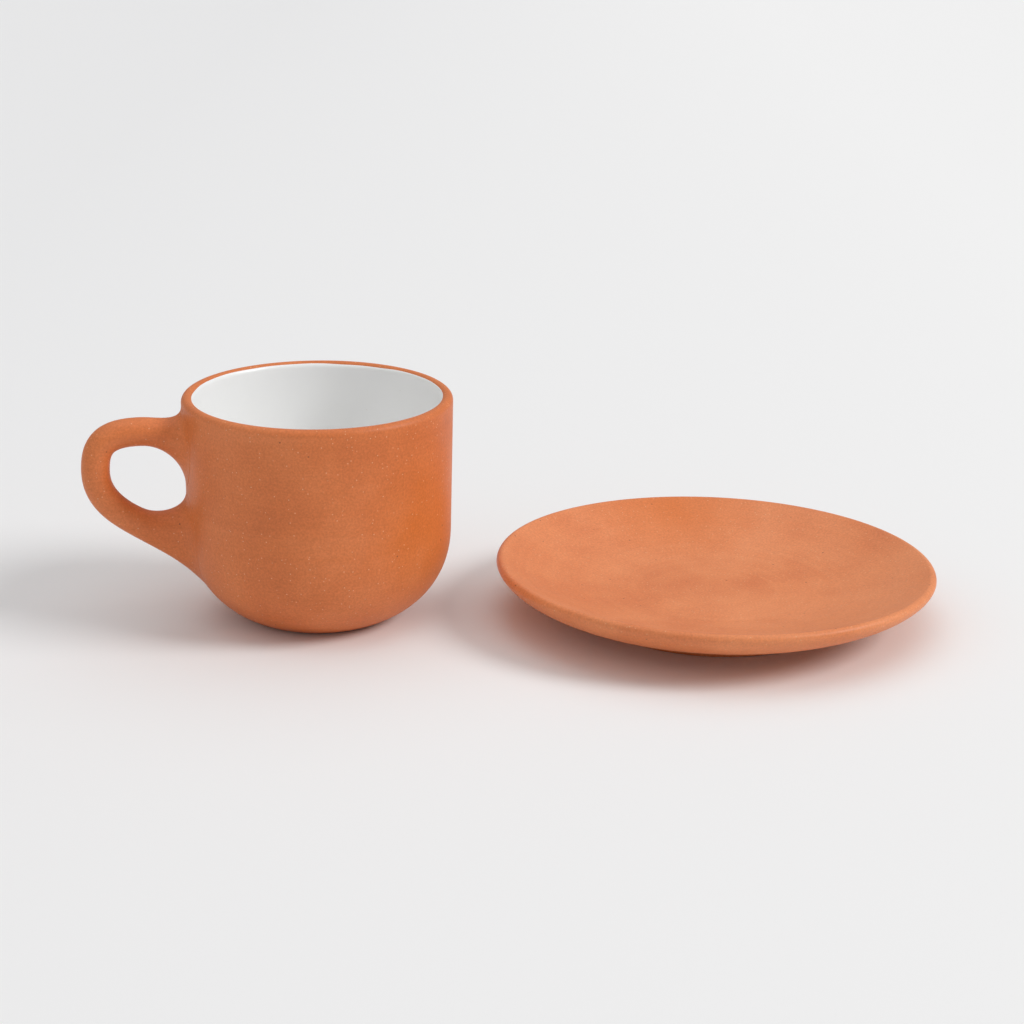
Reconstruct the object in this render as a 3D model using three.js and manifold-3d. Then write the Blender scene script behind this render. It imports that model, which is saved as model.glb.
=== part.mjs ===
// A thrown earthenware teacup, glazed white inside, and its saucer standing beside it.
// Millimetres, +Z up. The pair stands along X: the cup with its handle at -X, the saucer at +X.

import * as THREE from "three";
import { mergeVertices } from "three/addons/utils/BufferGeometryUtils.js";
import Module from "manifold-3d";

const wasm = await Module();
wasm.setup();

// Cup, turned about its own axis
const cupRadius = 43; // outside of the lip
const cupHeight = 73;
const wallTaper = 0.75; // the wall draws in by this much from the lip down to the belly
const wallThickness = 4.2; // clay and glaze together
const bellyHeight = 30.4; // where the straight wall turns into the rounded bottom
const bellyFullness = 2.32; // superellipse exponent: 2 is an ellipse, more is squarer
const footRadius = 22;
const footRingWidth = 5;
const footRecess = 1.2; // turned hollow under the foot
const cupFloorThickness = 5.5;

// Glaze lining the cup
const glazeThickness = 0.6;
const glazeDrop = 1.25; // bare clay from the top of the lip down to the glaze

// Pulled handle, an oval strap that swells into the wall at both roots
const handleTurn = THREE.MathUtils.degToRad(13); // turned from -X towards -Y
const handleThickness = 8.9; // in the handle's plane
const handleWidth = 9.6; // across the handle's plane
const handleReach = 31.9; // from the outside of the lip to the handle's outermost face
const upperRootDrop = 11.8; // from the top of the lip to the middle of the upper root
const rootSpan = 36.4; // between the middles of the two roots
const elbowDrop = 9.8; // from the upper root down to the outermost point
const crownPull = 13.7; // how high the curve swings above the outermost point
const fallPull = 10.7; // how straight the curve drops below the outermost point
const upperRootPull = { out: 26.5, up: 3.8 }; // direction in which the strap leaves the upper root
const lowerRootPull = { out: 23.8, up: 8.2 }; // direction in which it comes into the lower root
const rootEmbed = 6; // how far the strap's route starts inside the lip's radius
const upperSwell = { length: 24, thickness: 16, width: 10 };
const lowerSwell = { length: 33, thickness: 20, width: 8 };

// Slip that glues the handle's roots to the wall
const slipThickness = 1.2;
const slipBead = 0.6; // squeezed out around the root
const slipStretch = 0.3; // share of the strap's route that one root takes

// Saucer, turned about its own axis
const saucerRadius = 71;
const saucerHeight = 18;
const saucerRimThickness = 4.7;
const saucerFootRadius = 41.6;
const saucerFootTaper = 0.8; // the foot ring draws in by this much on its way down
const saucerFootHeight = 4.6;
const saucerFootWidth = 6;
const saucerRecess = 3; // turned hollow inside the foot ring
const saucerFloorThickness = 5;
const saucerUndersideFullness = 1.63;
const wellRadius = 26; // flat middle where the cup can stand
const dishPower = 1.8; // how late the dish rises towards the rim

// Placing and clearance
const pairGap = 14; // between the cup's lip and the saucer's rim
const fitGap = 0.3; // between pieces that lie against each other

// Facets
const cupSegments = 48;
const saucerSegments = 56;
const curveSteps = 9;
const lipSteps = 5;
const handleSteps = 26;
const handleSides = 14;

// Worked out from the sizes above
const lipRadius = wallThickness / 2;
const cupFloorHeight = footRecess + cupFloorThickness + fitGap + glazeThickness;
const wellHeight = saucerRecess + saucerFloorThickness;
const saucerRimRadius = saucerRimThickness / 2;

const terracotta = new THREE.MeshStandardMaterial({ color: 0xc67a50, roughness: 0.62, metalness: 0 });
const saucerClay = new THREE.MeshStandardMaterial({ color: 0xd2855a, roughness: 0.58, metalness: 0 });
const whiteGlaze = new THREE.MeshStandardMaterial({ color: 0xf2f0eb, roughness: 0.3, metalness: 0 });
const slipClay = new THREE.MeshStandardMaterial({ color: 0xbd7149, roughness: 0.66, metalness: 0 });

const point = (radius, height) => new THREE.Vector2(radius, height);

// Quarter of a superellipse, from its lowest point (or from startRadius) out and up to its widest
function quarterCurve(width, depth, fullness, startRadius = 0) {
  const power = 2 / fullness;
  const startAngle = Math.asin((startRadius / width) ** (fullness / 2));
  const points = [];
  for (let i = 0; i <= curveSteps; i += 1) {
    const angle = startAngle + ((Math.PI / 2 - startAngle) * i) / curveSteps;
    points.push(point(width * Math.sin(angle) ** power, -depth * Math.cos(angle) ** power));
  }
  return points;
}

// The same curve moved along its normals, away from the axis and downwards
function offsetCurve(points, distance) {
  return points.map((here, i) => {
    const before = points[Math.max(i - 1, 0)];
    const after = points[Math.min(i + 1, points.length - 1)];
    const along = after.clone().sub(before).normalize();
    const radius = here.x === 0 ? 0 : here.x + along.y * distance;
    return point(radius, here.y - along.x * distance);
  });
}

// Part of a circle in the profile, anticlockwise from the outside
function arc(centre, radius, fromAngle, toAngle) {
  const points = [];
  for (let i = 0; i <= lipSteps; i += 1) {
    const angle = fromAngle + ((toAngle - fromAngle) * i) / lipSteps;
    points.push(point(centre.x + radius * Math.cos(angle), centre.y + radius * Math.sin(angle)));
  }
  return points;
}

// Vertices that lie together become one, and triangles that closed up at the axis go
function closedGeometry(geometry) {
  geometry.deleteAttribute("normal");
  geometry.deleteAttribute("uv");
  const merged = mergeVertices(geometry, 1e-5);
  const index = [];
  for (let i = 0; i < merged.index.count; i += 3) {
    const [a, b, c] = [0, 1, 2].map((corner) => merged.index.getX(i + corner));
    if (a !== b && b !== c && c !== a) index.push(a, b, c);
  }
  merged.setIndex(index);
  return merged;
}

// A profile of radius and height turned about Z
function revolve(profile, segments) {
  const geometry = new THREE.LatheGeometry(profile, segments);
  geometry.rotateX(Math.PI / 2);
  return closedGeometry(geometry);
}

function solid(geometry) {
  const vertProperties = Float32Array.from(geometry.attributes.position.array);
  const triVerts = Uint32Array.from(geometry.index.array);
  return new wasm.Manifold(new wasm.Mesh({ numProp: 3, vertProperties, triVerts }));
}

function geometryOf(manifold) {
  const { vertProperties, triVerts } = manifold.getMesh();
  const geometry = new THREE.BufferGeometry();
  geometry.setAttribute("position", new THREE.BufferAttribute(Float32Array.from(vertProperties), 3));
  geometry.setIndex(Array.from(triVerts));
  return geometry;
}

function piece(name, geometry, material) {
  geometry.computeVertexNormals();
  const mesh = new THREE.Mesh(geometry, material);
  mesh.name = name;
  return mesh;
}

// Cup's outside from the edge of the foot up to where the lip starts to round
function cupOutside() {
  const wallRadius = cupRadius - wallTaper;
  const footShare = (footRadius / wallRadius) ** bellyFullness;
  const depth = bellyHeight / (1 - footShare) ** (1 / bellyFullness);
  const belly = quarterCurve(wallRadius, depth, bellyFullness, footRadius);
  const curve = belly.map(({ x, y }) => point(x, bellyHeight + y));
  curve.push(point(cupRadius, cupHeight - lipRadius));
  return curve;
}

// Face of the glaze from the middle of the floor up to where the lip starts to round
function cupInside() {
  const radius = cupRadius - wallTaper - wallThickness;
  const bowl = quarterCurve(radius, bellyHeight - cupFloorHeight, bellyFullness);
  const curve = bowl.map(({ x, y }) => point(x, bellyHeight + y));
  curve.push(point(cupRadius - wallThickness, cupHeight - lipRadius));
  return curve;
}

const lipCentre = point(cupRadius - lipRadius, cupHeight - lipRadius);

// Angle on the rounded lip, on its inner side, at a given distance below the top
const innerLipAngle = (drop) => Math.PI - Math.asin(1 - drop / lipRadius);

function cupBody() {
  const ledgeRadius = cupRadius - wallThickness + glazeThickness + fitGap;
  const profile = [
    point(0, footRecess),
    point(footRadius - footRingWidth - footRecess, footRecess),
    point(footRadius - footRingWidth, 0),
    ...cupOutside(),
    ...arc(lipCentre, lipRadius, 0, innerLipAngle(glazeDrop)).slice(1),
    point(ledgeRadius, cupHeight - glazeDrop),
    ...offsetCurve(cupInside(), glazeThickness + fitGap).reverse(),
  ];
  return piece("cup_body", revolve(profile, cupSegments), terracotta);
}

function innerGlaze() {
  const topHeight = cupHeight - glazeDrop - fitGap;
  const topAngle = innerLipAngle(glazeDrop + fitGap);
  const profile = [
    ...offsetCurve(cupInside(), glazeThickness),
    point(cupRadius - wallThickness + glazeThickness, topHeight),
    point(lipCentre.x + lipRadius * Math.cos(topAngle), topHeight),
    ...cupInside().reverse(),
  ];
  return piece("inner_glaze", revolve(profile, cupSegments), whiteGlaze);
}

// Everything within a given distance of the cup's outside, carried up past the lip
function cupBlock(distance) {
  const outside = offsetCurve(cupOutside(), distance);
  const top = cupHeight + handleThickness;
  const profile = [
    point(0, outside[0].y),
    ...outside,
    point(cupRadius + distance, top),
    point(0, top),
  ];
  return solid(revolve(profile, cupSegments));
}

// Middle line of the strap in the handle's plane: X away from the cup's axis, Z up
function handleRoute() {
  const rootX = cupRadius - rootEmbed;
  const upperZ = cupHeight - upperRootDrop;
  const lowerZ = upperZ - rootSpan;
  const elbowX = cupRadius + handleReach - handleThickness / 2;
  const elbowZ = upperZ - elbowDrop;
  const at = (x, z) => new THREE.Vector3(x, 0, z);
  const elbow = at(elbowX, elbowZ);
  const route = new THREE.CurvePath();
  route.add(new THREE.CubicBezierCurve3(
    at(rootX, upperZ),
    at(rootX + upperRootPull.out, upperZ + upperRootPull.up),
    at(elbowX, elbowZ + crownPull),
    elbow,
  ));
  route.add(new THREE.CubicBezierCurve3(
    elbow,
    at(elbowX, elbowZ - fallPull),
    at(rootX + lowerRootPull.out, lowerZ + lowerRootPull.up),
    at(rootX, lowerZ),
  ));
  return route;
}

// Oval strap lofted along a stretch of the route, thicker all round by extra
function handleStrap(extra, fromShare, toShare) {
  const route = handleRoute();
  const length = route.getLength();
  const steps = Math.ceil(handleSteps * (toShare - fromShare));
  const fromWall = (distance) => Math.max(distance, rootEmbed);
  const swellAt = (swell, distance) => Math.max(0, 1 - fromWall(distance) / swell.length) ** 3;
  const positions = [];
  const index = [];
  const addVertex = (vertex) => positions.push(vertex.x, vertex.y, vertex.z) / 3 - 1;

  for (let i = 0; i <= steps; i += 1) {
    const share = fromShare + ((toShare - fromShare) * i) / steps;
    const middle = route.getPoint(share);
    const along = route.getTangent(share);
    const outwards = new THREE.Vector3(-along.z, 0, along.x);
    const upper = swellAt(upperSwell, share * length);
    const lower = swellAt(lowerSwell, (1 - share) * length);
    const thickness = handleThickness + upperSwell.thickness * upper + lowerSwell.thickness * lower;
    const width = handleWidth + upperSwell.width * upper + lowerSwell.width * lower;
    for (let j = 0; j < handleSides; j += 1) {
      const angle = (2 * Math.PI * j) / handleSides;
      const vertex = middle.clone().addScaledVector(outwards, (thickness / 2 + extra) * Math.cos(angle));
      vertex.y += (width / 2 + extra) * Math.sin(angle);
      addVertex(vertex);
    }
  }

  const ringVertex = (ring, side) => ring * handleSides + (side % handleSides);
  const firstMiddle = addVertex(route.getPoint(fromShare));
  const lastMiddle = addVertex(route.getPoint(toShare));
  for (let j = 0; j < handleSides; j += 1) {
    for (let i = 0; i < steps; i += 1) {
      const [a, b] = [ringVertex(i, j), ringVertex(i + 1, j)];
      const [c, d] = [ringVertex(i + 1, j + 1), ringVertex(i, j + 1)];
      index.push(a, b, c, a, c, d);
    }
    index.push(firstMiddle, ringVertex(0, j), ringVertex(0, j + 1));
    index.push(lastMiddle, ringVertex(steps, j + 1), ringVertex(steps, j));
  }
  const geometry = new THREE.BufferGeometry();
  geometry.setAttribute("position", new THREE.Float32BufferAttribute(positions, 3));
  geometry.setIndex(index);
  return solid(geometry);
}

function cupHandle() {
  const seat = cupBlock(fitGap + slipThickness + fitGap);
  return piece("cup_handle", geometryOf(handleStrap(0, 0, 1).subtract(seat)), terracotta);
}

// Pad of slip between the wall and one root, a bead wider than the root
function handleSlip(name, fromShare, toShare) {
  const band = cupBlock(fitGap + slipThickness).subtract(cupBlock(fitGap));
  return piece(name, geometryOf(handleStrap(slipBead, fromShare, toShare).intersect(band)), slipClay);
}

function saucer() {
  const rimCentre = point(saucerRadius - saucerRimRadius, saucerHeight - saucerRimRadius);
  const undersideWidth = saucerRadius - saucerFootRadius;
  const undersideDepth = rimCentre.y - saucerFootHeight;
  const underside = quarterCurve(undersideWidth, undersideDepth, saucerUndersideFullness)
    .map(({ x, y }) => point(saucerFootRadius + x, rimCentre.y + y));

  const dishSlope = ((saucerHeight - wellHeight) * dishPower) / (rimCentre.x - wellRadius);
  const rim = arc(rimCentre, saucerRimRadius, 0, Math.PI / 2 + Math.atan(dishSlope));
  const dishEdge = rim[rim.length - 1];
  const dish = [];
  for (let i = curveSteps - 1; i >= 0; i -= 1) {
    const share = i / curveSteps;
    dish.push(point(
      wellRadius + (dishEdge.x - wellRadius) * share,
      wellHeight + (dishEdge.y - wellHeight) * share ** dishPower,
    ));
  }

  const footInside = saucerFootRadius - saucerFootTaper - saucerFootWidth;
  const profile = [
    point(0, saucerRecess),
    point(footInside - saucerFootTaper, saucerRecess),
    point(footInside, 0),
    point(saucerFootRadius - saucerFootTaper, 0),
    ...underside,
    ...rim.slice(1),
    ...dish,
    point(0, wellHeight),
  ];
  return piece("saucer", revolve(profile, saucerSegments), saucerClay);
}

// The cup with everything fixed to it
const cup = new THREE.Group();
cup.add(cupBody(), innerGlaze());

const handle = new THREE.Group();
handle.add(
  cupHandle(),
  handleSlip("upper_handle_slip", 0, slipStretch),
  handleSlip("lower_handle_slip", 1 - slipStretch, 1),
);
handle.rotation.z = Math.PI + handleTurn;
cup.add(handle);

const saucerPlace = new THREE.Group();
saucerPlace.add(saucer());
saucerPlace.position.x = cupRadius + pairGap + saucerRadius;

// The pair, centred over the origin and standing on z = 0
const pair = new THREE.Group();
pair.add(cup, saucerPlace);
pair.updateMatrixWorld(true);
const middle = new THREE.Box3().setFromObject(pair, true).getCenter(new THREE.Vector3());
pair.position.set(-middle.x, -middle.y, 0);

export default pair;
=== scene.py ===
"""An earthenware teacup, glazed white inside, and its saucer standing beside it on a pale table."""

import math

import bmesh
import bpy
import numpy as np
from mathutils import Matrix, Vector


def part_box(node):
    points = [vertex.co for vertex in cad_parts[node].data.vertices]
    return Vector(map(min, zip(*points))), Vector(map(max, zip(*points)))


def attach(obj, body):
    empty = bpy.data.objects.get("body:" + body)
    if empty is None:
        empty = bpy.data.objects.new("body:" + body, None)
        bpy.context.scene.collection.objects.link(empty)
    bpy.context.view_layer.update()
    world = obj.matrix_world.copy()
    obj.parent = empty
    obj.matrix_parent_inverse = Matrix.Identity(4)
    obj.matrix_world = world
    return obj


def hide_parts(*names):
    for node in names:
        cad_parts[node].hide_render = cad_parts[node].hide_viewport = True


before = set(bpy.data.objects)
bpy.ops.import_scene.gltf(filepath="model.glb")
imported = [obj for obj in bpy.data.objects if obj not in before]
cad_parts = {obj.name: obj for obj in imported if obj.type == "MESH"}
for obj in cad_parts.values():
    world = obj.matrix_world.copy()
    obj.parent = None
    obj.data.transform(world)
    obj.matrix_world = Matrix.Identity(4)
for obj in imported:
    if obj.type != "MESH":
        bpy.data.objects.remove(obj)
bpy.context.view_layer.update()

MM = 0.001

# Sizes in millimetres, read from the frame
CUP_LOW, CUP_HIGH = [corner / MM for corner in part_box("cup_body")]
SAUCER_LOW, SAUCER_HIGH = [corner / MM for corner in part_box("saucer")]
CUP_AXIS = (CUP_LOW + CUP_HIGH) / 2
SAUCER_AXIS = (SAUCER_LOW + SAUCER_HIGH) / 2
CUP_RADIUS = round((CUP_HIGH.x - CUP_LOW.x) / 2, 2)
CUP_HEIGHT = round(CUP_HIGH.z, 1)
SAUCER_RADIUS = round((SAUCER_HIGH.x - SAUCER_LOW.x) / 2, 2)
SAUCER_HEIGHT = round(SAUCER_HIGH.z, 1)

# Cup, millimetres
WALL_TAPER = 0.75
WALL = 3.8
LIP = WALL / 2
BELLY_HEIGHT = 30.4
BELLY_FULLNESS = 2.32
FOOT_RADIUS = 22.0
FOOT_RING = 5.0
FOOT_RECESS = 1.2
FOOT_EDGE = 0.9
FLOOR_HEIGHT = 7.6
GLAZE = 0.35
GLAZE_DROP = 0.6
GLAZE_FEATHER = 2.5
GLAZE_EDGE_WAVE = 0.16

# Handle, millimetres
HANDLE_TURN = math.radians(13)
STRAP_THICKNESS = 8.9
STRAP_WIDTH = 9.6
REACH = 31.9
UPPER_ROOT_DROP = 11.8
ROOT_SPAN = 36.4
ELBOW_DROP = 10.2
CROWN_PULL = 13.2
FALL_PULL = 10.7
UPPER_PULL = (25.6, 4.2)
LOWER_PULL = (23.8, 8.2)
ROOT_EMBED = 6.0
UPPER_SWELL = {"length": 21.0, "thickness": 15.0, "width": 10.0}
LOWER_SWELL = {"length": 32.0, "thickness": 17.7, "width": 6.5}

# Where each root spreads over the wall: middle height, reach on the loop's outer and inner side, half width
UPPER_SPREAD = {"height": 60.4, "outer": 10.4, "inner": 15.5, "across": 10.0, "start": 18.8}
LOWER_SPREAD = {"height": 31.0, "outer": 20.9, "inner": 12.0, "across": 10.5, "start": 22.8}
JUST_BEYOND = 1.04
WALL_PULL = 1.25
ROOT_SINK = 1.2

# Saucer, millimetres
RIM_RADIUS = 1.6
SAUCER_FOOT_RADIUS = 41.6
SAUCER_FOOT_TAPER = 0.8
SAUCER_FOOT_HEIGHT = 4.6
SAUCER_FOOT_WIDTH = 6.0
SAUCER_RECESS = 3.0
WELL_HEIGHT = 8.0
WELL_RADIUS = 26.0
DISH_POWER = 1.8
UNDERSIDE_FULLNESS = 1.63

# Hand-thrown rims are never quite level: rise of the rim per millimetre along X and Y
CUP_LEAN = (-0.0077, 0.0085)
SAUCER_LEAN = (-0.0159, -0.0095)
WOBBLE = 0.12
WOBBLE_PER_METRE_UP = 18.0
STILL_RADIUS = 25.0

# Camera, millimetres and degrees: its place is measured from the foot of the cup's axis
IMAGE_SIZE = 1024
FOCAL_PIXELS = 2194.6
CAMERA_PLACE = (61.92, -673.5, 252.5)
CAMERA_PITCH = 17.99
CAMERA_ROLL = 0.35

# Clay tones from dark to light, and an orange patch: its place from the foot of the axis and its size, mm. On
# the cup the patch is painted light, the warm glow bounced from the saucer onto the cup's right side; on the
# saucer it is a warmer orange patch towards the back
CUP_TONES = ((0.60, 0.150, 0.036), (0.68, 0.185, 0.050), (0.75, 0.23, 0.075))
SAUCER_TONES = ((0.70, 0.20, 0.066), (0.77, 0.25, 0.092), (0.83, 0.295, 0.12))
CUP_PAINTED_BOUNCE_LIGHT = {"orange_patch_place": (38, -18, 38), "orange_patch_size": 30}
SAUCER_ORANGE_PATCH = {"orange_patch_place": (-10, 62, 17), "orange_patch_size": 34}
ORANGE_PATCH_FADE = 10
ORANGE_PATCH_COLOUR = (0.70, 0.17, 0.02, 1.0)
FLECK_COLOUR = (0.93, 0.62, 0.36, 1.0)
# Colour of the small pits: painted shade inside them
PIT_SHADE_COLOUR = (0.16, 0.045, 0.02, 1.0)
PINHOLE_COLOUR = (0.55, 0.42, 0.33, 1.0)
LINES_PER_METRE = 420.0
LINE_BREAKS_PER_METRE = 14.0

# Table and light: the table's colour holds painted light, running from darker on the left to brighter on the
# right, as the key light from the right would light it, over twice this distance, in metres
TABLE_LIGHT_FADE = 0.3
TABLE_SHADED_LEFT = (0.845, 0.845, 0.85)
TABLE_LIT_RIGHT = (0.93, 0.93, 0.93)
BACKDROP = (0.86, 0.86, 0.865, 1.0)
WORLD_LIGHT = 0.35


# Profiles: lists of radius and height in millimetres, from the axis round the outside and back to it

def quarter_curve(width, depth, fullness, start_radius=0.0, steps=44):
    """Quarter of a superellipse from its lowest point, or from start_radius, out and up to its widest."""
    power = 2 / fullness
    start = math.asin((start_radius / width) ** (fullness / 2))
    angles = np.linspace(start, math.pi / 2, steps + 1)
    sines = np.sin(angles)
    cosines = np.clip(np.cos(angles), 0, 1)
    return np.column_stack([width * sines ** power, -depth * cosines ** power])


def offset_curve(points, distance):
    """The curve moved along its normals, away from the axis and downwards."""
    along = np.gradient(points, axis=0)
    along /= np.linalg.norm(along, axis=1)[:, None]
    moved = points + np.column_stack([along[:, 1], -along[:, 0]]) * np.reshape(distance, (-1, 1))
    moved[points[:, 0] == 0, 0] = 0
    return moved


def arc(centre, radius, start, end, steps=14):
    angles = np.linspace(start, end, steps + 1)
    return np.column_stack([centre[0] + radius * np.cos(angles), centre[1] + radius * np.sin(angles)])


def soft_corner(before, corner, after, steps=5):
    """A corner rounded off between a point before it and a point after it."""
    t = np.linspace(0, 1, steps + 1)[:, None]
    before, corner, after = map(np.asarray, (before, corner, after))
    return (1 - t) ** 2 * before + 2 * t * (1 - t) * corner + t ** 2 * after


def line(start, end, steps):
    t = np.linspace(0, 1, steps + 1)[:, None]
    return np.asarray(start) * (1 - t) + np.asarray(end) * t


def cup_outside():
    """From the edge of the foot up to where the lip starts to round."""
    wall_radius = CUP_RADIUS - WALL_TAPER
    foot_share = (FOOT_RADIUS / wall_radius) ** BELLY_FULLNESS
    depth = BELLY_HEIGHT / (1 - foot_share) ** (1 / BELLY_FULLNESS)
    belly = quarter_curve(wall_radius, depth, BELLY_FULLNESS, FOOT_RADIUS)
    belly[:, 1] += BELLY_HEIGHT
    wall = line(belly[-1], (CUP_RADIUS, CUP_HEIGHT - LIP), 24)
    return np.vstack([belly, wall[1:]])


def cup_inside():
    """Face of the glaze from the middle of the floor up to where the lip starts to round."""
    bowl = quarter_curve(CUP_RADIUS - WALL_TAPER - WALL, BELLY_HEIGHT - FLOOR_HEIGHT, BELLY_FULLNESS)
    bowl[:, 1] += BELLY_HEIGHT
    wall = line(bowl[-1], (CUP_RADIUS - WALL, CUP_HEIGHT - LIP), 24)
    lip_end = math.pi - math.asin(1 - GLAZE_DROP / LIP)
    lip = arc(lip_centre(), LIP, math.pi, lip_end, 4)
    return np.vstack([bowl, wall[1:], lip[1:]])


def lip_centre():
    return (CUP_RADIUS - LIP, CUP_HEIGHT - LIP)


def glaze_depth(curve):
    """Thickness of the glaze along the inside, feathering out towards its edge."""
    below_edge = CUP_HEIGHT - GLAZE_DROP - curve[:, 1]
    share = np.clip(below_edge / GLAZE_FEATHER, 0, 1)
    return GLAZE * (0.1 + 0.9 * share * (2 - share))


def cup_profile():
    outside = cup_outside()
    inside = cup_inside()
    seat = offset_curve(inside, glaze_depth(inside))
    ring_inside = FOOT_RADIUS - FOOT_RING
    edge = soft_corner((FOOT_RADIUS - FOOT_EDGE, 0), (FOOT_RADIUS, 0), outside[2])
    lip = arc(lip_centre(), LIP, 0, math.pi - math.asin(1 - GLAZE_DROP / LIP), 22)
    return np.vstack([
        [(0, FOOT_RECESS)],
        line((6, FOOT_RECESS), (ring_inside - FOOT_RECESS, FOOT_RECESS), 4),
        soft_corner((ring_inside - 0.3, 0.3), (ring_inside, 0), (ring_inside + 0.5, 0)),
        edge,
        outside[3:],
        lip[1:],
        seat[::-1][1:],
    ])


def glaze_profile():
    face = cup_inside()
    back = offset_curve(face, 0.85 * glaze_depth(face))
    proud = offset_curve(face, -0.25 * glaze_depth(face))
    return np.vstack([back, proud[::-1]])


def saucer_profile():
    rim_centre = (SAUCER_RADIUS - RIM_RADIUS, SAUCER_HEIGHT - RIM_RADIUS)
    underside = quarter_curve(
        SAUCER_RADIUS - SAUCER_FOOT_RADIUS, rim_centre[1] - SAUCER_FOOT_HEIGHT, UNDERSIDE_FULLNESS)
    underside += (SAUCER_FOOT_RADIUS, rim_centre[1])
    slope = (SAUCER_HEIGHT - WELL_HEIGHT) * DISH_POWER / (rim_centre[0] - WELL_RADIUS)
    rim = arc(rim_centre, RIM_RADIUS, 0, math.pi / 2 + math.atan(slope), 18)
    share = np.linspace(1, 0, 46)[1:]
    dish = np.column_stack([
        WELL_RADIUS + (rim[-1][0] - WELL_RADIUS) * share,
        WELL_HEIGHT + (rim[-1][1] - WELL_HEIGHT) * share ** DISH_POWER,
    ])
    foot_outside = SAUCER_FOOT_RADIUS - SAUCER_FOOT_TAPER
    foot_inside = foot_outside - SAUCER_FOOT_WIDTH
    return np.vstack([
        line((0, SAUCER_RECESS), (foot_inside - 2, SAUCER_RECESS), 8),
        soft_corner((foot_inside - 1, SAUCER_RECESS), (foot_inside - 0.6, 0.4), (foot_inside + 0.8, 0)),
        soft_corner((foot_outside - 0.9, 0), (foot_outside, 0), (foot_outside + 0.15, 0.9)),
        soft_corner((SAUCER_FOOT_RADIUS - 0.1, SAUCER_FOOT_HEIGHT - 0.9), underside[0], underside[5]),
        underside[6:],
        rim[1:],
        dish,
        line((WELL_RADIUS - 3, WELL_HEIGHT), (0, WELL_HEIGHT), 8),
    ])


# Turning a profile on the wheel, as a Geometry Nodes tree

def node(tree, kind, settings=None, **inputs):
    """Adds a node; an input is a socket to link or a value, named as in Blender with _ for a space."""
    made = tree.nodes.new(kind)
    for name, value in (settings or {}).items():
        setattr(made, name, value)
    for name, value in inputs.items():
        key = int(name[1:]) if name[0] == "i" and name[1:].isdigit() else name.replace("_", " ")
        socket = made.inputs[key]
        if isinstance(value, bpy.types.NodeSocket):
            tree.links.new(value, socket)
        else:
            socket.default_value = value
    return made


def math_node(tree, operation, first, second=0.0):
    return node(tree, "ShaderNodeMath", {"operation": operation}, i0=first, i1=second).outputs[0]


def wheel_tree():
    """Revolves the profile's points about an upright axis, with the slow wobble of a hand-thrown wall."""
    tree = bpy.data.node_groups.new("turned_on_the_wheel", "GeometryNodeTree")
    for name, kind in (("Profile", "Geometry"), ("Around", "Int"), ("Along", "Int"), ("Axis", "Vector"),
                       ("Wobble", "Float"), ("Seed", "Float"), ("Clay", "Material")):
        tree.interface.new_socket(name, in_out="INPUT", socket_type="NodeSocket" + kind)
    tree.interface.new_socket("Turned", in_out="OUTPUT", socket_type="NodeSocketGeometry")
    given = tree.nodes.new("NodeGroupInput").outputs

    columns = math_node(tree, "ADD", given["Around"], 1)
    grid = node(tree, "GeometryNodeMeshGrid", Size_X=1.0, Size_Y=1.0,
                Vertices_X=columns, Vertices_Y=given["Along"])
    place = node(tree, "ShaderNodeSeparateXYZ", i0=tree.nodes.new("GeometryNodeInputPosition").outputs[0])
    turn = math_node(tree, "MULTIPLY", math_node(tree, "ADD", place.outputs[0], 0.5), 2 * math.pi)
    last = math_node(tree, "SUBTRACT", given["Along"], 1)
    row_share = math_node(tree, "ADD", place.outputs[1], 0.5)
    row = math_node(tree, "ROUND", math_node(tree, "MULTIPLY", row_share, last))

    sampled = node(tree, "GeometryNodeSampleIndex", {"data_type": "FLOAT_VECTOR", "domain": "POINT"},
                   Geometry=given["Profile"], Index=row)
    tree.links.new(tree.nodes.new("GeometryNodeInputPosition").outputs[0], sampled.inputs["Value"])
    point = node(tree, "ShaderNodeSeparateXYZ", i0=sampled.outputs[0])
    radius, height = point.outputs[0], point.outputs[2]
    cosine = math_node(tree, "COSINE", turn)
    sine = math_node(tree, "SINE", turn)

    up = math_node(tree, "MULTIPLY", height, WOBBLE_PER_METRE_UP)
    around = node(tree, "ShaderNodeCombineXYZ", X=cosine, Y=sine, Z=up)
    slow_noise = node(tree, "ShaderNodeTexNoise", {"noise_dimensions": "4D"}, Vector=around.outputs[0],
                      W=given["Seed"], Scale=0.9, Detail=1.0)
    centred = math_node(tree, "SUBTRACT", slow_noise.outputs[0], 0.5)
    swing = math_node(tree, "MULTIPLY", centred, given["Wobble"])
    share = math_node(tree, "MINIMUM", math_node(tree, "DIVIDE", radius, STILL_RADIUS * MM), 1.0)
    wide = math_node(tree, "ADD", radius, math_node(tree, "MULTIPLY", swing, share))

    turned = node(tree, "ShaderNodeCombineXYZ", X=math_node(tree, "MULTIPLY", wide, cosine),
                  Y=math_node(tree, "MULTIPLY", wide, sine), Z=height)
    standing = node(tree, "ShaderNodeVectorMath", {"operation": "ADD"},
                    i0=turned.outputs[0], i1=given["Axis"])
    moved = node(tree, "GeometryNodeSetPosition", Geometry=grid.outputs["Mesh"],
                 Position=standing.outputs[0])
    closed = node(tree, "GeometryNodeMergeByDistance", Geometry=moved.outputs[0], Distance=1e-6)
    smooth = node(tree, "GeometryNodeSetShadeSmooth", Geometry=closed.outputs[0])
    real = node(tree, "GeometryNodeRealizeInstances", Geometry=smooth.outputs[0])
    finished = node(tree, "GeometryNodeSetMaterial", Geometry=real.outputs[0], Material=given["Clay"])
    tree.links.new(finished.outputs[0], tree.nodes.new("NodeGroupOutput").inputs[0])
    return tree


def new_object(name, mesh):
    made = bpy.data.objects.new(name, mesh)
    bpy.context.scene.collection.objects.link(made)
    return made


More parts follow.
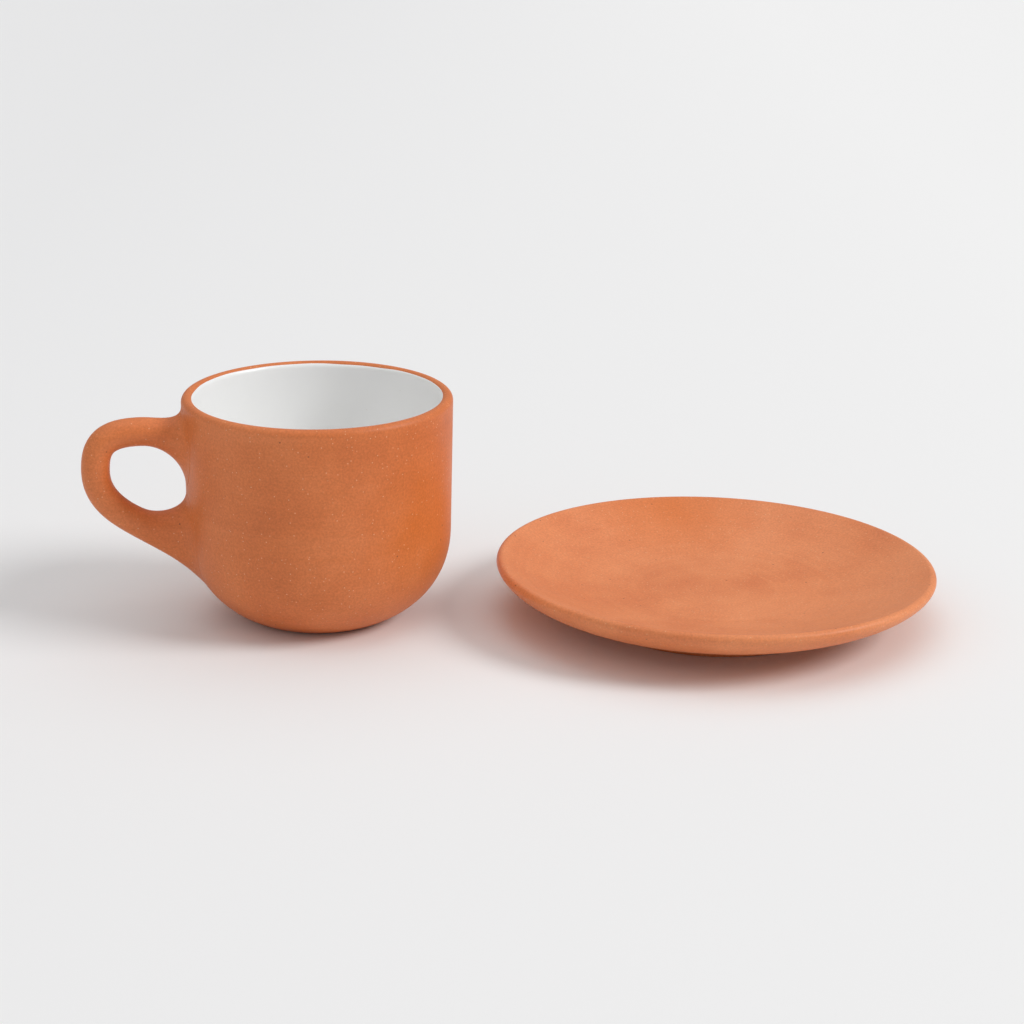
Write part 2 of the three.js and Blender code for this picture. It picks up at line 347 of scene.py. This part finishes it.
def turned_piece(name, tree, profile, axis, material, around=224, wobble=WOBBLE, seed=0.0):
    """A plain mesh, turned from a profile by the wheel tree."""
    points = np.column_stack([profile[:, 0], np.zeros(len(profile)), profile[:, 1]]) * MM
    mesh = bpy.data.meshes.new(name + "_profile")
    mesh.from_pydata(points.tolist(), [(i, i + 1) for i in range(len(points) - 1)], [])
    host = new_object(name + "_profile", mesh)
    wheel = host.modifiers.new("wheel", "NODES")
    wheel.node_group = tree
    wanted = {"Around": around, "Along": len(points), "Axis": (axis.x * MM, axis.y * MM, 0.0),
              "Wobble": wobble * MM, "Seed": seed, "Clay": material}
    for socket in tree.interface.items_tree:
        if socket.in_out == "INPUT" and socket.name in wanted:
            wheel[socket.identifier] = wanted[socket.name]
    depsgraph = bpy.context.evaluated_depsgraph_get()
    plain = bpy.data.meshes.new_from_object(host.evaluated_get(depsgraph))
    bpy.data.objects.remove(host)
    plain.name = name
    facing_out(plain)
    return new_object(name, plain)


def facing_out(mesh):
    shape = bmesh.new()
    shape.from_mesh(mesh)
    bmesh.ops.remove_doubles(shape, verts=shape.verts, dist=1e-7)
    bmesh.ops.recalc_face_normals(shape, faces=shape.faces)
    shape.to_mesh(mesh)
    shape.free()


def positions(mesh):
    flat = np.empty(len(mesh.vertices) * 3, np.float32)
    mesh.vertices.foreach_get("co", flat)
    return flat.reshape(-1, 3).astype(float)


def set_positions(mesh, places):
    mesh.vertices.foreach_set("co", places.astype(np.float32).ravel())
    mesh.update()


def lean(piece, axis, slope, height):
    """Tips a thrown piece's rim out of level, while its foot stays flat on the table."""
    places = positions(piece.data)
    share = np.clip(places[:, 2] / (height * MM), 0, 1)
    rise = slope[0] * (places[:, 0] - axis.x * MM) + slope[1] * (places[:, 1] - axis.y * MM)
    places[:, 2] += share * rise
    set_positions(piece.data, places)


def wave_glaze_edge(piece):
    """The glaze's edge runs a little up and down round the lip, as a poured and wiped edge does."""
    places = positions(piece.data)
    turn = np.arctan2(places[:, 1] - CUP_AXIS.y * MM, places[:, 0] - CUP_AXIS.x * MM)
    wave = 0.5 * np.sin(3 * turn + 0.8) + 0.3 * np.sin(7 * turn + 2.1) + 0.2 * np.sin(16 * turn)
    near = np.clip(1 - (CUP_HEIGHT - GLAZE_DROP - places[:, 2] / MM) / GLAZE_FEATHER, 0, 1) ** 2
    places[:, 2] += GLAZE_EDGE_WAVE * MM * wave * near
    set_positions(piece.data, places)


# Pulled handle

def bezier(corners, t):
    a, b, c, d = map(np.asarray, corners)
    t = np.asarray(t)[:, None]
    return (1 - t) ** 3 * a + 3 * t * (1 - t) ** 2 * b + 3 * t ** 2 * (1 - t) * c + t ** 3 * d


def handle_route(samples=600):
    """Middle line of the strap: distance from the cup's axis and height, evenly spaced, and its length."""
    root = CUP_RADIUS - ROOT_EMBED
    upper = CUP_HEIGHT - UPPER_ROOT_DROP
    lower = upper - ROOT_SPAN
    out = CUP_RADIUS + REACH - STRAP_THICKNESS / 2
    elbow = upper - ELBOW_DROP
    t = np.linspace(0, 1, 400)
    top = bezier([(root, upper), (root + UPPER_PULL[0], upper + UPPER_PULL[1]),
                  (out, elbow + CROWN_PULL), (out, elbow)], t)
    bottom = bezier([(out, elbow), (out, elbow - FALL_PULL),
                     (root + LOWER_PULL[0], lower + LOWER_PULL[1]), (root, lower)], t)
    rough = np.vstack([top, bottom[1:]])
    reached = np.concatenate([[0], np.cumsum(np.linalg.norm(np.diff(rough, axis=0), axis=1))])
    even = np.linspace(0, reached[-1], samples)
    route = np.column_stack([np.interp(even, reached, rough[:, i]) for i in (0, 1)])
    return route, reached[-1]


def wall_radius_at(height):
    outside = cup_outside()
    return np.interp(height, outside[:, 1], outside[:, 0])


def spread_on_wall(spread, angles, outer_is_up, scale=1.0):
    """Points where a root runs out on the wall: away from the axis, across the handle, height."""
    cosines = np.cos(angles)
    reach = np.where(cosines > 0, spread["outer"], spread["inner"]) * cosines * scale
    height = spread["height"] + (reach if outer_is_up else -reach)
    across = spread["across"] * scale * np.sin(angles)
    return np.column_stack([np.sqrt(wall_radius_at(height) ** 2 - across ** 2), across, height])


def strap_ring(route, length, distance, angles):
    """Oval section of the strap at a distance along its route."""
    even = np.linspace(0, length, len(route))
    middle = np.array([np.interp(distance, even, route[:, i]) for i in (0, 1)])
    ahead = np.array([np.interp(distance + 0.3, even, route[:, i]) for i in (0, 1)])
    behind = np.array([np.interp(distance - 0.3, even, route[:, i]) for i in (0, 1)])
    along = (ahead - behind) / np.linalg.norm(ahead - behind)
    upper = max(0.0, 1 - distance / UPPER_SWELL["length"]) ** 3
    lower = max(0.0, 1 - (length - distance) / LOWER_SWELL["length"]) ** 3
    thickness = STRAP_THICKNESS + UPPER_SWELL["thickness"] * upper + LOWER_SWELL["thickness"] * lower
    width = STRAP_WIDTH + UPPER_SWELL["width"] * upper + LOWER_SWELL["width"] * lower
    out = np.cos(angles) * thickness / 2
    across = np.sin(angles) * width / 2
    return np.column_stack([middle[0] - along[1] * out, across, middle[1] + along[0] * out])


def root_fillet(strap_edge, strap_before, spread, angles, outer_is_up, steps=26):
    """Rings from the strap's last section, flaring until they run out flush with the wall."""
    foot = spread_on_wall(spread, angles, outer_is_up)
    beyond = spread_on_wall(spread, angles, outer_is_up, JUST_BEYOND) - foot
    beyond /= np.linalg.norm(beyond, axis=1)[:, None]
    leaving = strap_edge - strap_before
    leaving /= np.linalg.norm(leaving, axis=1)[:, None]
    chord = np.linalg.norm(foot - strap_edge, axis=1)[:, None]
    rings = []
    for t in np.linspace(0, 1, steps + 1)[1:]:
        rings.append(
            (2 * t ** 3 - 3 * t ** 2 + 1) * strap_edge + (t ** 3 - 2 * t ** 2 + t) * chord * leaving
            + (3 * t ** 2 - 2 * t ** 3) * foot + (t ** 3 - t ** 2) * chord * WALL_PULL * beyond)
    buried = foot.copy()
    buried[:, 0] -= ROOT_SINK
    return rings + [buried]


def pulled_handle(material, sides=88, strap_steps=96):
    angles = np.linspace(0, 2 * math.pi, sides, endpoint=False)
    route, length = handle_route()
    first, last = UPPER_SPREAD["start"], length - LOWER_SPREAD["start"]
    strap = [strap_ring(route, length, d, angles) for d in np.linspace(first, last, strap_steps)]
    upper_before = strap_ring(route, length, first + 0.5, angles)
    lower_before = strap_ring(route, length, last - 0.5, angles)
    upper = root_fillet(strap[0], upper_before, UPPER_SPREAD, angles, True)
    lower = root_fillet(strap[-1], lower_before, LOWER_SPREAD, angles, False)
    rings = upper[::-1] + strap + lower

    turn = math.pi + HANDLE_TURN
    local = np.vstack(rings)
    places = np.column_stack([
        CUP_AXIS.x + local[:, 0] * math.cos(turn) - local[:, 1] * math.sin(turn),
        CUP_AXIS.y + local[:, 0] * math.sin(turn) + local[:, 1] * math.cos(turn),
        local[:, 2],
    ]) * MM
    faces = []
    for ring in range(len(rings) - 1):
        for side in range(sides):
            beside = (side + 1) % sides
            faces.append((ring * sides + side, (ring + 1) * sides + side,
                          (ring + 1) * sides + beside, ring * sides + beside))
    faces.append(tuple(range(sides)))
    faces.append(tuple((len(rings) - 1) * sides + side for side in reversed(range(sides))))
    mesh = bpy.data.meshes.new("pulled_handle")
    mesh.from_pydata(places.tolist(), [], faces)
    facing_out(mesh)
    mesh.shade_smooth()
    mesh.materials.append(material)
    return new_object("pulled_handle", mesh)


# Finishes

def colour_ramp(tree, value, *stops):
    ramp = node(tree, "ShaderNodeValToRGB", Fac=value)
    elements = ramp.color_ramp.elements
    while len(elements) < len(stops):
        elements.new(0.5)
    for element, (place, colour) in zip(elements, stops):
        element.position = place
        element.color = (*colour, 1.0)
    return ramp.outputs[0]


def mix_colour(tree, share, first, second, blend="MIX"):
    mixed = node(tree, "ShaderNodeMix", {"data_type": "RGBA", "blend_type": blend})
    for key, value in ((0, share), (6, first), (7, second)):
        if isinstance(value, bpy.types.NodeSocket):
            tree.links.new(value, mixed.inputs[key])
        else:
            mixed.inputs[key].default_value = value
    return mixed.outputs[2]


def map_range(tree, value, low, high, to_low=0.0, to_high=1.0):
    return node(tree, "ShaderNodeMapRange", i0=value, i1=low, i2=high, i3=to_low, i4=to_high).outputs[0]


def noise(tree, vector, scale, detail=2.0, roughness=0.5):
    made = node(tree, "ShaderNodeTexNoise", Vector=vector, Scale=scale, Detail=detail, Roughness=roughness)
    return made.outputs[0]


def specks(tree, vector, scale, size, kept):
    """Round specks of a given share of the cell, in only some of the cells."""
    cells = node(tree, "ShaderNodeTexVoronoi", {"feature": "F1"}, Vector=vector, Scale=scale)
    chance = node(tree, "ShaderNodeSeparateColor", Color=cells.outputs["Color"])
    dot = map_range(tree, cells.outputs["Distance"], size, size * 0.45)
    chosen = math_node(tree, "LESS_THAN", chance.outputs[0], kept)
    return math_node(tree, "MULTIPLY", dot, chosen)


def terracotta(name, axis, lines_run, dark, middle, light, orange_patch_place, orange_patch_size):
    """Burnished, unglazed clay: cloudy tone, wheel lines, fine grain, pale grog flecks, small pits darkened
    with painted shade, and an orange patch that on the cup is painted bounced light.
    """
    material = bpy.data.materials.new(name)
    material.use_nodes = True
    tree = material.node_tree
    shader = tree.nodes["Principled BSDF"]
    place = node(tree, "ShaderNodeTexCoord").outputs["Object"]
    centred = node(tree, "ShaderNodeMapping", Vector=place,
                   Location=(-axis.x * MM, -axis.y * MM, 0.0)).outputs[0]

    split = node(tree, "ShaderNodeSeparateXYZ", i0=centred)
    flat = node(tree, "ShaderNodeCombineXYZ", X=split.outputs[0], Y=split.outputs[1], Z=0.0)
    radius = node(tree, "ShaderNodeVectorMath", {"operation": "LENGTH"}, i0=flat.outputs[0]).outputs["Value"]
    run = split.outputs[2] if lines_run == "up the wall" else radius
    across = math_node(tree, "MULTIPLY", run, LINES_PER_METRE)
    stretched = node(tree, "ShaderNodeVectorMath", {"operation": "MULTIPLY"}, i0=flat.outputs[0],
                     i1=(LINE_BREAKS_PER_METRE, LINE_BREAKS_PER_METRE, 0.0))
    lift = node(tree, "ShaderNodeCombineXYZ", X=0.0, Y=0.0, Z=across)
    line_place = node(tree, "ShaderNodeVectorMath", {"operation": "ADD"},
                      i0=stretched.outputs[0], i1=lift.outputs[0])
    wheel_lines = noise(tree, line_place.outputs[0], 1.0, 3.0, 0.6)

    clouds = noise(tree, centred, 26.0, 3.0, 0.55)
    blotches = noise(tree, centred, 95.0, 4.0, 0.6)
    grain = noise(tree, centred, 1500.0, 2.0, 0.6)
    tone = math_node(tree, "MULTIPLY", clouds, 0.55)
    tone = math_node(tree, "ADD", tone, math_node(tree, "MULTIPLY", blotches, 0.2))
    tone = math_node(tree, "ADD", tone, math_node(tree, "MULTIPLY", wheel_lines, 0.17))
    tone = math_node(tree, "ADD", tone, math_node(tree, "MULTIPLY", grain, 0.08))
    clay = colour_ramp(tree, tone, (0.36, dark), (0.5, middle), (0.66, light))

    # Orange patch: on the cup it is painted bounced light, the saucer's warm glow on the cup's right side; on
    # the saucer it is only a warmer patch of tone
    away = node(tree, "ShaderNodeVectorMath", {"operation": "DISTANCE"}, i0=centred,
                i1=[value * MM for value in orange_patch_place]).outputs["Value"]
    ragged = math_node(tree, "ADD", away, math_node(tree, "MULTIPLY", blotches, 0.02))
    orange_patch = map_range(tree, ragged, (orange_patch_size + ORANGE_PATCH_FADE) * MM, 0.25 * orange_patch_size * MM, 0.0, 0.75)
    clay = mix_colour(tree, orange_patch, clay, ORANGE_PATCH_COLOUR)

    fine_grain = map_range(tree, grain, 0.3, 0.7, 0.9, 1.08)
    shade = node(tree, "ShaderNodeCombineColor", Red=fine_grain, Green=fine_grain, Blue=fine_grain)
    clay = mix_colour(tree, 1.0, clay, shade.outputs[0], "MULTIPLY")
    flecks = specks(tree, centred, 680.0, 0.17, 0.5)
    clay = mix_colour(tree, math_node(tree, "MULTIPLY", flecks, 0.5), clay, FLECK_COLOUR)
    # Small pits, painted dark as the shade inside them, and sunk in the bump below
    pits = specks(tree, centred, 230.0, 0.085, 0.3)
    clay = mix_colour(tree, math_node(tree, "MULTIPLY", pits, 0.7), clay, PIT_SHADE_COLOUR)
    tree.links.new(clay, shader.inputs["Base Color"])

    gloss = math_node(tree, "ADD", map_range(tree, blotches, 0.3, 0.7, 0.44, 0.56),
                      math_node(tree, "MULTIPLY", flecks, -0.12))
    tree.links.new(gloss, shader.inputs["Roughness"])
    shader.inputs["Specular IOR Level"].default_value = 0.42

    relief = math_node(tree, "MULTIPLY", wheel_lines, 0.5)
    relief = math_node(tree, "ADD", relief, math_node(tree, "MULTIPLY", grain, 0.35))
    relief = math_node(tree, "SUBTRACT", relief, math_node(tree, "MULTIPLY", pits, 1.2))
    relief = math_node(tree, "ADD", relief, math_node(tree, "MULTIPLY", flecks, 0.15))
    bump = node(tree, "ShaderNodeBump", Height=relief, Strength=0.35, Distance=0.00012)
    tree.links.new(bump.outputs[0], shader.inputs["Normal"])
    return material


def satin_glaze():
    """White satin glaze with a faint warm cloudiness, soft unevenness and a few pinholes."""
    material = bpy.data.materials.new("white_satin_glaze")
    material.use_nodes = True
    tree = material.node_tree
    shader = tree.nodes["Principled BSDF"]
    place = node(tree, "ShaderNodeTexCoord").outputs["Object"]
    clouds = noise(tree, place, 40.0, 3.0, 0.5)
    white = colour_ramp(tree, clouds, (0.3, (0.93, 0.93, 0.92)), (0.7, (0.95, 0.95, 0.945)))
    pinholes = specks(tree, place, 260.0, 0.05, 0.12)
    white = mix_colour(tree, math_node(tree, "MULTIPLY", pinholes, 0.35), white, PINHOLE_COLOUR)
    tree.links.new(white, shader.inputs["Base Color"])
    tree.links.new(map_range(tree, clouds, 0.3, 0.7, 0.3, 0.38), shader.inputs["Roughness"])
    shader.inputs["Specular IOR Level"].default_value = 0.5
    shader.inputs["Coat Weight"].default_value = 0.25
    shader.inputs["Coat Roughness"].default_value = 0.22
    ripple = noise(tree, place, 180.0, 2.0, 0.5)
    bump = node(tree, "ShaderNodeBump", Height=ripple, Strength=0.12, Distance=0.0004)
    tree.links.new(bump.outputs[0], shader.inputs["Normal"])
    return material


# Table, light and camera

def pale_table(size=9.0):
    material = bpy.data.materials.new("pale_table")
    material.use_nodes = True
    tree = material.node_tree
    shader = tree.nodes["Principled BSDF"]
    place = node(tree, "ShaderNodeTexCoord").outputs["Object"]
    across = node(tree, "ShaderNodeSeparateXYZ", i0=place).outputs[0]
    # Painted light: the table's colour brightens from left to right, as the key light from the right would
    # light it
    share = map_range(tree, across, -TABLE_LIGHT_FADE, TABLE_LIGHT_FADE)
    pale = colour_ramp(tree, share, (0.0, TABLE_SHADED_LEFT), (1.0, TABLE_LIT_RIGHT))
    tree.links.new(pale, shader.inputs["Base Color"])
    shader.inputs["Roughness"].default_value = 0.9
    shader.inputs["Specular IOR Level"].default_value = 0.1
    mesh = bpy.data.meshes.new("table")
    corners = [(-size, -size, 0), (size, -size, 0), (size, size, 0), (-size, size, 0)]
    mesh.from_pydata(corners, [], [(0, 1, 2, 3)])
    mesh.materials.append(material)
    table = new_object("table", mesh)


def soft_sun(name, from_place, strength, softness):
    """A distant lamp that shines from a place towards the origin, with its angular size in degrees."""
    lamp = bpy.data.lights.new(name, "SUN")
    lamp.energy = strength
    lamp.angle = math.radians(softness)
    made = bpy.data.objects.new(name, lamp)
    made.rotation_mode = "QUATERNION"
    made.rotation_quaternion = (-Vector(from_place)).to_track_quat("-Z", "Y")
    bpy.context.scene.collection.objects.link(made)


def studio():
    world = bpy.data.worlds.new("studio")
    bpy.context.scene.world = world
    world.use_nodes = True
    tree = world.node_tree
    lit = tree.nodes["Background"]
    lit.inputs["Color"].default_value = (1.0, 1.0, 1.0, 1.0)
    lit.inputs["Strength"].default_value = WORLD_LIGHT
    seen = node(tree, "ShaderNodeBackground", Color=BACKDROP, Strength=1.0)
    rays = tree.nodes.new("ShaderNodeLightPath").outputs
    shown = math_node(tree, "MAXIMUM", rays["Is Camera Ray"], rays["Is Transmission Ray"])
    mixed = node(tree, "ShaderNodeMixShader", i0=shown, i1=lit.outputs[0], i2=seen.outputs[0])
    tree.links.new(mixed.outputs[0], tree.nodes["World Output"].inputs["Surface"])
    soft_sun("key_from_the_right", (0.86, -0.19, 0.66), 1.5, 24.0)
    soft_sun("high_softbox", (0.1, 0.3, 1.0), 0.62, 70.0)
    soft_sun("fill_from_the_left", (-0.55, -0.4, 1.0), 0.5, 80.0)


def photo_camera():
    camera = bpy.data.cameras.new("camera")
    camera.sensor_width = 36.0
    camera.lens = FOCAL_PIXELS / IMAGE_SIZE * camera.sensor_width
    camera.clip_start = 0.01
    camera.clip_end = 50.0
    made = bpy.data.objects.new("camera", camera)
    tilt = Matrix.Rotation(math.radians(90 - CAMERA_PITCH), 4, "X")
    roll = Matrix.Rotation(math.radians(CAMERA_ROLL), 4, "Z")
    foot = Vector((CUP_AXIS.x, CUP_AXIS.y, 0.0))
    made.matrix_world = Matrix.Translation((foot + Vector(CAMERA_PLACE)) * MM) @ tilt @ roll
    bpy.context.scene.collection.objects.link(made)
    bpy.context.scene.camera = made


def dress():
    wheel = wheel_tree()
    cup_clay = terracotta("cup_terracotta", CUP_AXIS, "up the wall", *CUP_TONES, **CUP_PAINTED_BOUNCE_LIGHT)
    saucer_clay = terracotta("saucer_terracotta", SAUCER_AXIS, "round the dish", *SAUCER_TONES, **SAUCER_ORANGE_PATCH)
    glaze = satin_glaze()

    cup = turned_piece("thrown_cup", wheel, cup_profile(), CUP_AXIS, cup_clay, seed=3.0)
    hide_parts("cup_body")
    lining = turned_piece("glaze_lining", wheel, glaze_profile(), CUP_AXIS, glaze, seed=3.0)
    wave_glaze_edge(lining)
    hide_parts("inner_glaze")
    handle = pulled_handle(cup_clay)
    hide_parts("cup_handle", "upper_handle_slip", "lower_handle_slip")
    for piece in (cup, lining, handle):
        lean(piece, CUP_AXIS, CUP_LEAN, CUP_HEIGHT)
        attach(piece, "cup")

    saucer = turned_piece("thrown_saucer", wheel, saucer_profile(), SAUCER_AXIS, saucer_clay,
                          around=288, seed=8.0)
    lean(saucer, SAUCER_AXIS, SAUCER_LEAN, SAUCER_HEIGHT)
    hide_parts("saucer")
    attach(saucer, "saucer")


bpy.context.scene.view_settings.view_transform = "Standard"
photo_camera()
dress()
pale_table()
studio()
